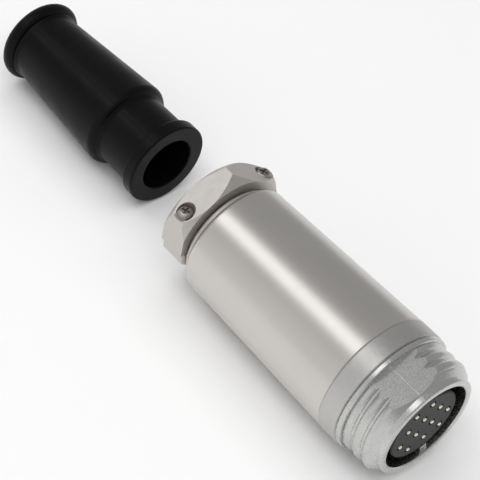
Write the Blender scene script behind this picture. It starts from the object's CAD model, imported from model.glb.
import math

import bpy
from mathutils import Matrix, Vector


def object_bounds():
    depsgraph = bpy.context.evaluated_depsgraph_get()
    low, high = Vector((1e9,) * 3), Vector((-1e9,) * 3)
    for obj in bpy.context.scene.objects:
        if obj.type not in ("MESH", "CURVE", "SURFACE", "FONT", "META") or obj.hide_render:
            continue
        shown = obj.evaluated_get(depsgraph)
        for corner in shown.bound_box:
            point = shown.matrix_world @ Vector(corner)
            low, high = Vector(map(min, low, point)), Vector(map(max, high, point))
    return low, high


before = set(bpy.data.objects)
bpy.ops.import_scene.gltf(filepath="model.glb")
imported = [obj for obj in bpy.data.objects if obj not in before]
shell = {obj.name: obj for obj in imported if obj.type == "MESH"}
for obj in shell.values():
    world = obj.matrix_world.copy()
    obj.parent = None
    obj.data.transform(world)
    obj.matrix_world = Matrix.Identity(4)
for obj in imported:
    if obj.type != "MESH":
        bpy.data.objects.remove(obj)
cad_low, cad_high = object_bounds()
mm = 0.001


# ---- Front shell ----
# The die-cast front of the connector: rim, coupling thread and key socket in one casting.
# It is nickel plated over the skin it had in the die, so it is glossy but never even.

def new_finish(name, base, roughness, metallic=1.0):
    """A material with its node tree and its main shader."""
    material = bpy.data.materials.new(name)
    material.use_nodes = True
    shader = material.node_tree.nodes["Principled BSDF"]
    shader.inputs["Base Color"].default_value = (*base, 1)
    shader.inputs["Roughness"].default_value = roughness
    shader.inputs["Metallic"].default_value = metallic
    return material, material.node_tree, shader


def add(tree, kind, inputs=None, **settings):
    """A node with its settings made and its inputs set or linked."""
    made = tree.nodes.new(kind)
    for key, value in settings.items():
        setattr(made, key, value)
    for key, value in (inputs or {}).items():
        if isinstance(value, bpy.types.NodeSocket):
            tree.links.new(value, made.inputs[key])
        else:
            made.inputs[key].default_value = value
    return made


def place_in_mm(tree, stretch=(1, 1, 1)):
    """Positions on the part in millimetres, stretched along each axis."""
    where = add(tree, "ShaderNodeTexCoord")
    scale = add(tree, "ShaderNodeVectorMath", {0: where.outputs["Object"], 1: [1000 * s for s in stretch]},
                operation="MULTIPLY")
    return scale.outputs["Vector"]


def speckle(tree, where, size, detail=2.0, roughness=0.5):
    """A noise pattern whose blotches are about the given size in millimetres."""
    return add(tree, "ShaderNodeTexNoise", {"Vector": where, "Scale": 1 / size, "Detail": detail,
                                            "Roughness": roughness}).outputs["Fac"]


def spread(tree, pattern, low, high, start=0.3, end=0.7):
    """Maps a pattern between two values, clipped at both ends."""
    return add(tree, "ShaderNodeMapRange", {"Value": pattern, "From Min": start, "From Max": end,
                                            "To Min": low, "To Max": high}).outputs["Result"]


def tint(tree, pattern, dark, light):
    """Mixes two colours by a pattern."""
    mix = add(tree, "ShaderNodeMix", {"Factor": pattern}, data_type="RGBA")
    mix.inputs["A"].default_value = (*dark, 1)
    mix.inputs["B"].default_value = (*light, 1)
    return mix.outputs["Result"]


def heap(tree, height, other, share=1.0):
    """Adds a share of one height pattern to another."""
    if share != 1.0:
        other = add(tree, "ShaderNodeMath", {0: other, 1: share}, operation="MULTIPLY").outputs["Value"]
    return add(tree, "ShaderNodeMath", {0: height, 1: other}, operation="ADD").outputs["Value"]


def raise_skin(tree, shader, height, depth_mm, strength):
    """Turns a height pattern into a bump of the given depth."""
    bump = add(tree, "ShaderNodeBump", {"Height": height, "Strength": strength, "Distance": depth_mm * mm})
    tree.links.new(bump.outputs["Normal"], shader.inputs["Normal"])


def mould_line(tree, where, centre, angle, width):
    """A factor that is one along the line where a mould's halves met, in a plane through an axis."""
    a = math.radians(angle)
    offset = add(tree, "ShaderNodeVectorMath", {0: where, 1: (0, *centre)},
                 operation="SUBTRACT").outputs["Vector"]
    across = add(tree, "ShaderNodeVectorMath", {0: offset, 1: (0, -math.sin(a), math.cos(a))},
                 operation="DOT_PRODUCT").outputs["Value"]
    away = add(tree, "ShaderNodeMath", {0: across}, operation="ABSOLUTE").outputs["Value"]
    return spread(tree, away, 1.0, 0.0, width / 2, width)


def dress(finish, *names):
    """Gives nodes of the frame a finish."""
    for name in names:
        shell[name].data.materials.clear()
        shell[name].data.materials.append(finish)


connector_axis = (0, 0)      # in mm along Y and Z
shell_seam_angle = 109       # of the plane where the two halves of the die met, in degrees from +Y

cast_nickel, tree, shader = new_finish("cast_nickel", (0.66, 0.66, 0.64), 0.24)
skin = place_in_mm(tree)
flow = speckle(tree, place_in_mm(tree, (1.4, 0.5, 0.5)), 2.0, 2)
grain = speckle(tree, skin, 0.4, 2)
tree.links.new(tint(tree, flow, (0.50, 0.50, 0.49), (0.62, 0.62, 0.605)), shader.inputs["Base Color"])
tree.links.new(spread(tree, grain, 0.22, 0.32), shader.inputs["Roughness"])
seam = mould_line(tree, skin, connector_axis, shell_seam_angle, 0.16)
raise_skin(tree, shader, heap(tree, heap(tree, flow, grain), seam, 1.2), 0.02, 0.3)
dress(cast_nickel, "front_shell")


# ---- Adapter ring ----
# A separate cast ring behind the thread. Its outside was blasted, so it is matt and mottled.

blasted_nickel, tree, shader = new_finish("blasted_nickel", (0.60, 0.60, 0.58), 0.42)
skin = place_in_mm(tree)
blotch = speckle(tree, skin, 1.1, 4, 0.7)
grain = speckle(tree, skin, 0.25, 2)
tree.links.new(tint(tree, blotch, (0.46, 0.455, 0.445), (0.60, 0.59, 0.575)), shader.inputs["Base Color"])
tree.links.new(spread(tree, blotch, 0.34, 0.50), shader.inputs["Roughness"])
raise_skin(tree, shader, heap(tree, blotch, grain), 0.06, 0.5)
dress(blasted_nickel, "adapter_ring")


# ---- Inserts ----
# Three dark grey thermoset mouldings that carry the contacts, locked behind a lip in the shell.

insert_grey, tree, shader = new_finish("insert_grey", (0.025, 0.025, 0.027), 0.5, 0.0)
shader.inputs["Specular IOR Level"].default_value = 0.25
skin = place_in_mm(tree)
grain = speckle(tree, skin, 0.3, 3)
tree.links.new(tint(tree, grain, (0.020, 0.020, 0.022), (0.030, 0.030, 0.032)), shader.inputs["Base Color"])
raise_skin(tree, shader, grain, 0.03, 0.4)
dress(insert_grey, "insert_front", "insert_middle", "insert_rear")


# ---- Contacts ----
# Turned pin contacts with solder cups, brightly plated. The pins stand in wells in the insert.

contact_plate, tree, shader = new_finish("contact_plate", (0.90, 0.84, 0.70), 0.2)
turning = speckle(tree, place_in_mm(tree, (6, 1, 1)), 0.8, 2)
tree.links.new(spread(tree, turning, 0.20, 0.36), shader.inputs["Roughness"])
dress(contact_plate, *[f"contact_{i:02d}" for i in range(1, 13)])


# ---- Retaining ring and seals ----
# A split spring-steel ring locks the inserts, and two rubber rings keep the water out.

ring_steel, tree, shader = new_finish("ring_steel", (0.5, 0.5, 0.5), 0.3)
tree.links.new(spread(tree, speckle(tree, place_in_mm(tree), 0.6), 0.25, 0.4), shader.inputs["Roughness"])
dress(ring_steel, "insert_ring")

seal_rubber, tree, shader = new_finish("seal_rubber", (0.012, 0.012, 0.012), 0.6, 0.0)
tree.links.new(spread(tree, speckle(tree, place_in_mm(tree), 0.5), 0.5, 0.7), shader.inputs["Roughness"])
dress(seal_rubber, "barrel_seal", "face_gasket")


# ---- Barrel ----
# The long tapered barrel, turned and satin nickel plated, pushed on the spigot of the ring.

satin_nickel, tree, shader = new_finish("satin_nickel", (0.66, 0.635, 0.61), 0.24)
lines = speckle(tree, place_in_mm(tree, (12, 0.25, 0.25)), 1.0, 3, 0.6)
cloud = speckle(tree, place_in_mm(tree), 9, 2)
tree.links.new(tint(tree, cloud, (0.60, 0.578, 0.55), (0.63, 0.607, 0.58)), shader.inputs["Base Color"])
tree.links.new(spread(tree, lines, 0.28, 0.35), shader.inputs["Roughness"])
grain = speckle(tree, place_in_mm(tree), 0.35, 2)
raise_skin(tree, shader, heap(tree, lines, grain), 0.010, 0.35)
dress(satin_nickel, "barrel")


# ---- End bell and clamp saddle ----
# The rear fitting and the loose half of its cable clamp, both cast, tumbled smooth and plated.

tumbled_nickel, tree, shader = new_finish("tumbled_nickel", (0.60, 0.575, 0.55), 0.5)
wave = speckle(tree, place_in_mm(tree), 1.8, 3)
grain = speckle(tree, place_in_mm(tree), 0.3, 2)
tree.links.new(tint(tree, wave, (0.57, 0.545, 0.52), (0.63, 0.605, 0.58)), shader.inputs["Base Color"])
tree.links.new(spread(tree, wave, 0.46, 0.55), shader.inputs["Roughness"])
raise_skin(tree, shader, heap(tree, wave, grain), 0.04, 0.5)
dress(tumbled_nickel, "end_bell", "clamp_saddle")


# ---- Clamp screws ----
# Two small pan-head screws with cross recesses, plain plated steel, darkened in the recess.

screw_steel, tree, shader = new_finish("screw_steel", (0.42, 0.38, 0.35), 0.35)
stain = speckle(tree, place_in_mm(tree), 0.5, 3)
tree.links.new(tint(tree, stain, (0.22, 0.19, 0.17), (0.55, 0.51, 0.47)), shader.inputs["Base Color"])
tree.links.new(spread(tree, stain, 0.25, 0.5), shader.inputs["Roughness"])
dress(screw_steel, "clamp_screw_left", "clamp_screw_right")


# ---- Boot ----
# The moulded rubber boot that the cable passes through, drawn off and lying on its shoulder.

corners = [Vector(corner) for corner in shell["boot"].bound_box]
boot_middle = sum(corners, Vector()) / len(corners) / mm
boot_axis = (boot_middle.y, boot_middle.z)
boot_seam_angle = 118        # of the plane where the two halves of the mould met, in degrees from +Y

boot_rubber, tree, shader = new_finish("boot_rubber", (0.002, 0.002, 0.0022), 0.4, 0.0)
shader.inputs["Specular IOR Level"].default_value = 0.12
skin = place_in_mm(tree)
bloom = speckle(tree, skin, 6, 3)
grain = speckle(tree, skin, 0.4, 2)
tree.links.new(tint(tree, bloom, (0.0015, 0.0015, 0.0017), (0.003, 0.003, 0.0033)), shader.inputs["Base Color"])
tree.links.new(spread(tree, bloom, 0.30, 0.44), shader.inputs["Roughness"])
seam = mould_line(tree, skin, boot_axis, boot_seam_angle, 0.3)
raise_skin(tree, shader, heap(tree, grain, seam, 3.0), 0.03, 0.4)
dress(boot_rubber, "boot")


# ---- Studio ----
# A pale floor, one long softbox above the connector, and a room that is grey on one side and
# white on the other. A second light whitens the floor and stays out of the plated surfaces.

bpy.context.scene.view_settings.view_transform = "Standard"

floor_half = 3.0
floor_mesh = bpy.data.meshes.new("floor")
turns = ((-1, -1), (1, -1), (1, 1), (-1, 1))
floor_mesh.from_pydata([(x * floor_half, y * floor_half, cad_low.z) for x, y in turns], [], [(0, 1, 2, 3)])
floor = bpy.data.objects.new("floor", floor_mesh)
bpy.context.scene.collection.objects.link(floor)
floor_white, tree, shader = new_finish("floor_white", (0.93, 0.93, 0.93), 0.9, 0.0)
floor_mesh.materials.append(floor_white)

white_side, grey_side = 0.82, 0.41
world = bpy.data.worlds.new("room")
bpy.context.scene.world = world
world.use_nodes = True
tree = world.node_tree
direction = add(tree, "ShaderNodeTexCoord").outputs["Generated"]
side = add(tree, "ShaderNodeSeparateXYZ", {"Vector": direction}).outputs["Y"]
glow = spread(tree, side, white_side, grey_side, -0.88, -0.50)
background = tree.nodes["Background"]
background.inputs["Color"].default_value = (1, 1, 1, 1)
tree.links.new(glow, background.inputs["Strength"])


def softbox(name, angle, distance, along, width, length, radiance):
    """A long area light parallel to the connector, at an angle round its axis from +Y."""
    light = bpy.data.lights.new(name, "AREA")
    light.shape = "RECTANGLE"
    light.size, light.size_y = length, width
    light.energy = radiance * math.pi * width * length
    lamp = bpy.data.objects.new(name, light)
    bpy.context.scene.collection.objects.link(lamp)
    a = math.radians(angle)
    out = Vector((0, math.cos(a), math.sin(a)))
    facing_axis = Matrix(((1, 0, 0), (0, -math.sin(a), math.cos(a)), (0, math.cos(a), math.sin(a)))).to_4x4()
    lamp.matrix_world = Matrix.Translation(Vector((along, 0, 0)) + out * distance) @ facing_axis
    return lamp


softbox("key_softbox", 112, 0.7, -0.298, 0.30, 1.5, 1.40)
fill = softbox("floor_fill", 90, 0.9, 0.0, 1.2, 1.4, 1.0)
fill.visible_glossy = False

camera_data = bpy.data.cameras.new("camera")
camera_data.lens = 135
camera_data.sensor_width = 36
camera = bpy.data.objects.new("camera", camera_data)
bpy.context.scene.collection.objects.link(camera)
right = Vector((0.63926, 0.75355, 0.15331))
up = Vector((-0.62578, 0.39389, 0.67324))
back = Vector((0.44693, -0.52631, 0.72336))
stand = Matrix.Translation((0.1304, -0.2311, 0.3190))
camera.matrix_world = stand @ Matrix((right, up, back)).transposed().to_4x4()
bpy.context.scene.camera = camera
